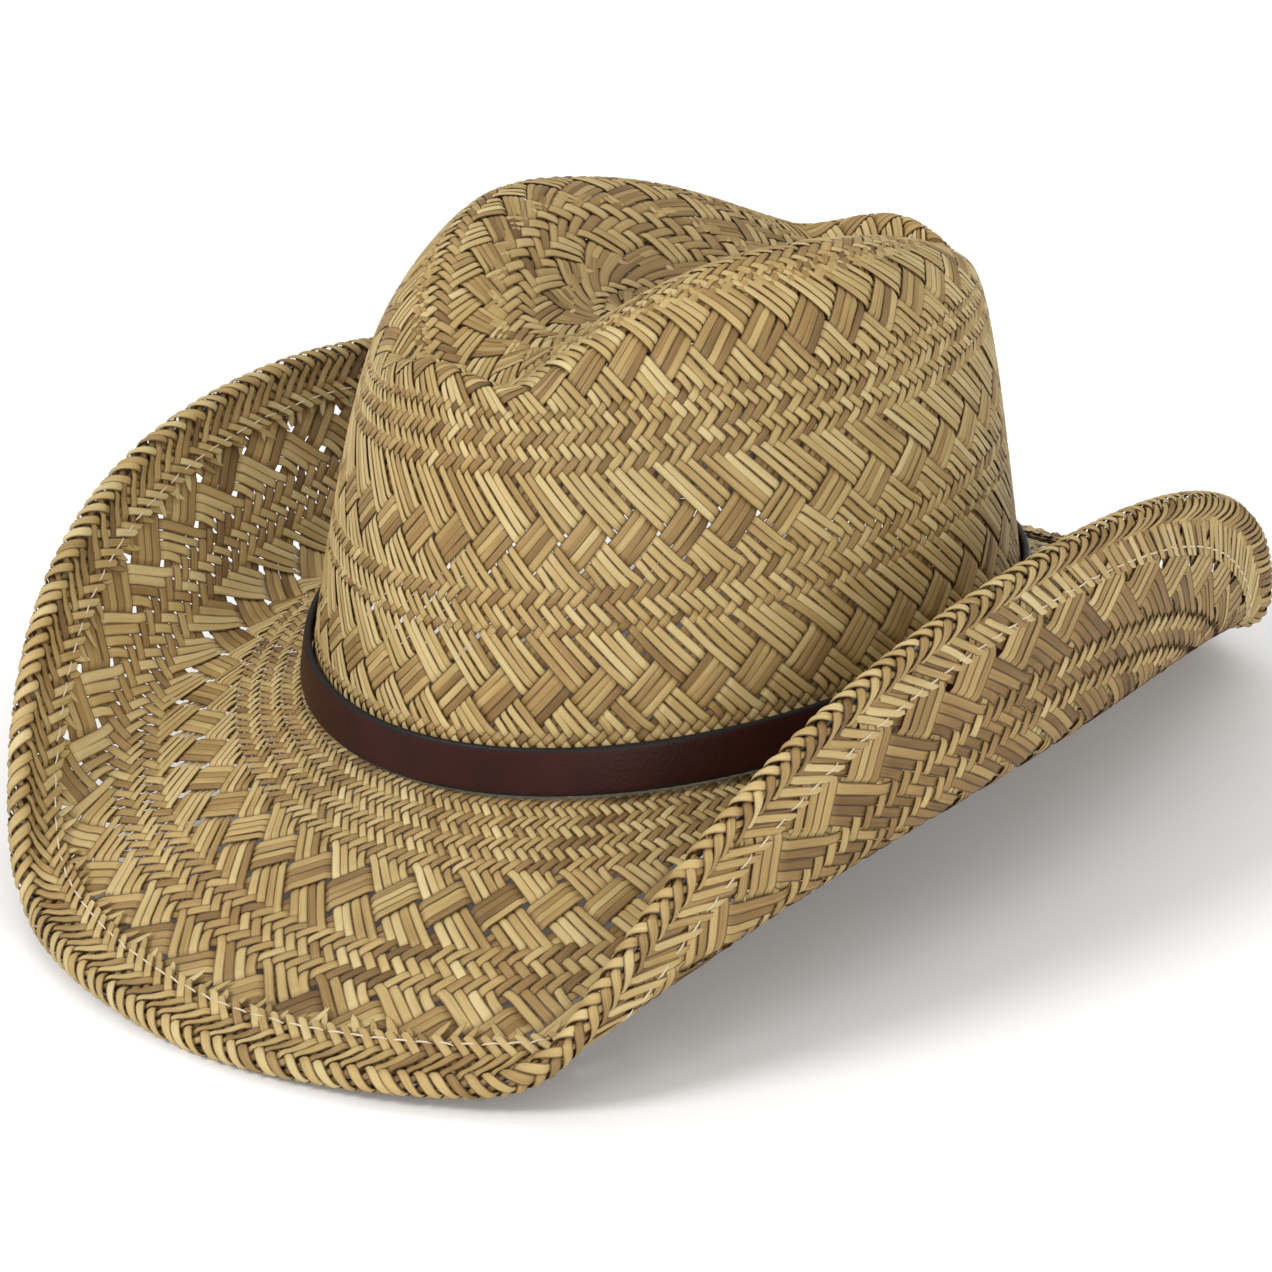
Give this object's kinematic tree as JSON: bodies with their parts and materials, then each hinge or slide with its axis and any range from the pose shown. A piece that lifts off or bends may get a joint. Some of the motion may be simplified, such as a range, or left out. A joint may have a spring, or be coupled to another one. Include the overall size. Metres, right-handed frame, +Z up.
{
  "type": "cowboy hat",
  "caption": "Woven straw cowboy hat with a pinched, creased crown, a wired brim rolled up at both sides and a plain leather hatband.",
  "frame": {"origin": "centre of the head opening, level with the sides of the crown's base", "axes": "+X to the wearer's left, -Y to the front of the hat, +Z up out of the head"},
  "size_m": [0.2665, 0.3566, 0.159],
  "materials": {
    "straw": "matt",
    "wire": "satin",
    "thread": "matt",
    "dark_thread": "matt",
    "leather": "satin",
    "lining": "matt",
    "reed": "satin",
    "ribbon": "satin",
    "label": "matt"
  },
  "bodies": {
    "root": {"woven_crown": "straw", "woven_brim": "straw", "brim_hem": "straw", "brim_wire": "wire", "wire_joiner": "wire", "hem_thread": "thread", "hatband_strap": "leather", "hatband_stitching": "dark_thread", "sweatband": "lining", "sweatband_reed": "reed", "sweatband_thread": "thread", "sweatband_tape": "lining", "sweatband_bow": "ribbon", "size_label": "label"}
  },
  "joints": []
}
